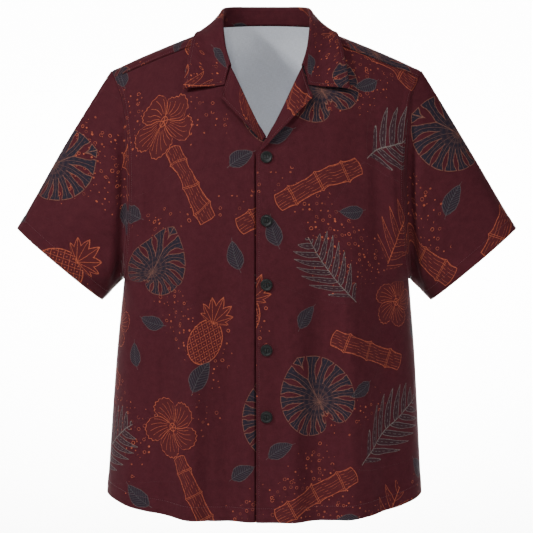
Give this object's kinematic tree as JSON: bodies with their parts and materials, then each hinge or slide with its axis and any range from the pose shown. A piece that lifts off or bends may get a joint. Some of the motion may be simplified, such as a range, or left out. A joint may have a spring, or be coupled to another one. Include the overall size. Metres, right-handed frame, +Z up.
{
  "type": "short-sleeved camp-collar shirt, filled out",
  "caption": "Short-sleeved shirt with an open camp collar and a buttoned front, filled out as if worn, with an empty hollow body and sleeves.",
  "frame": {"origin": "middle of the neck hole, level with the neck points of the shoulders, where the wearer holds the shirt up", "axes": "+Z up, the front faces -Y, the wearer's left side lies at +X"},
  "size_m": [0.765, 0.2589, 0.7704],
  "materials": {
    "front_right_cloth": "matt printed cotton",
    "front_left_cloth": "matt printed cotton",
    "back_cloth": "matt printed cotton",
    "sleeve_right_cloth": "matt printed cotton",
    "sleeve_left_cloth": "matt printed cotton",
    "collar_cloth": "matt printed cotton",
    "lapel_right_cloth": "matt printed cotton",
    "lapel_left_cloth": "matt printed cotton",
    "buttons": "polished"
  },
  "bodies": {
    "root": {"front_right": "front_right_cloth", "front_left": "front_left_cloth", "back": "back_cloth", "sleeve_right": "sleeve_right_cloth", "sleeve_left": "sleeve_left_cloth", "collar": "collar_cloth", "lapel_right": "lapel_right_cloth", "lapel_left": "lapel_left_cloth", "button_1": "buttons", "button_2": "buttons", "button_3": "buttons", "button_4": "buttons", "button_5": "buttons"}
  },
  "joints": []
}
